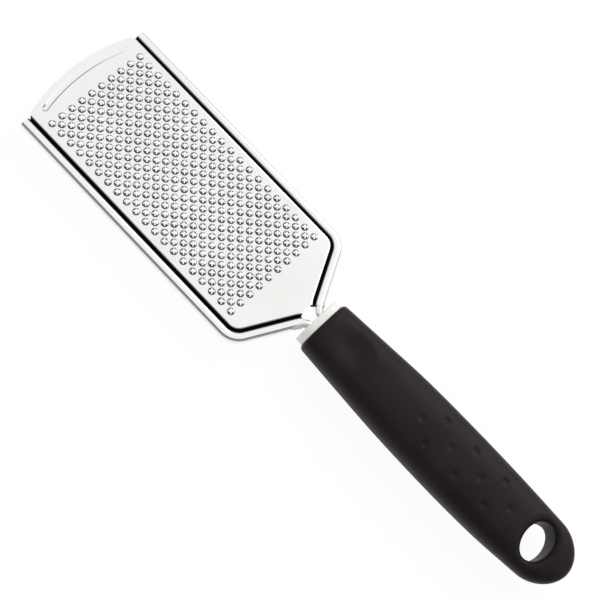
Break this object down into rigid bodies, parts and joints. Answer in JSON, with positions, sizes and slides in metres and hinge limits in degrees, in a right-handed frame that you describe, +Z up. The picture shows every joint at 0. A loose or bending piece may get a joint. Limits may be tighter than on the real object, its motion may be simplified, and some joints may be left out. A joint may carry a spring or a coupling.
{
  "type": "rasp zester",
  "caption": "Flat hand rasp: a steel sheet of small raised crown teeth, rolled round a bent wire frame, with a cream collar and a soft black handle with an oval hanging hole.",
  "frame": {"origin": "on the surface that the handle's underside rests on, under the middle of the whole tool", "axes": "+X along the tool from the blade's front to the hanging end, +Y across, +Z up out of the toothed face"},
  "size_m": [0.25, 0.059, 0.0193],
  "materials": {
    "blade_steel": "satin stainless sheet with brighter rolled edges",
    "wire_steel": "polished stainless wire",
    "collar_plastic": "cream moulding with a slight sheen",
    "core_plastic": "plain moulding, hidden in the grip",
    "grip_rubber": "matt soft-touch black"
  },
  "bodies": {
    "root": {"blade": "blade_steel", "frame_wire": "wire_steel", "collar": "collar_plastic", "handle_core": "core_plastic", "grip": "grip_rubber"}
  },
  "joints": []
}
